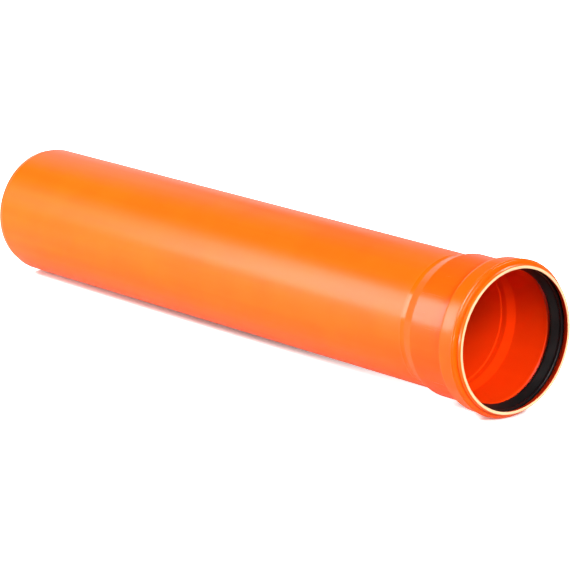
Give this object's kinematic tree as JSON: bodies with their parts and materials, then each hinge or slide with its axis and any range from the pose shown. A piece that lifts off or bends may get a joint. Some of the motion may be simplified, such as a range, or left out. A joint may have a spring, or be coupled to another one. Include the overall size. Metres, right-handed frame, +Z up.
{
  "type": "socketed sewer pipe",
  "caption": "Short orange polypropylene sewer pipe lying down, plain at one end, with a widened socket and a black rubber lip ring at the other.",
  "frame": {"origin": "centre of the bounding box, on the floor the pipe lies on", "axes": "+X along the pipe towards the socket's mouth, +Z up; the pipe lies with its socket's bead and its far end on the floor, so its axis leans up towards the mouth by 0.81 degrees"},
  "size_m": [0.6076, 0.1268, 0.1267],
  "materials": {
    "polypropylene": "satin, smooth, with faint lines along the barrel from extrusion",
    "ring_rubber": "matt, lightly lubricated"
  },
  "bodies": {
    "root": {"pipe": "polypropylene", "seal_ring": "ring_rubber"}
  },
  "joints": []
}
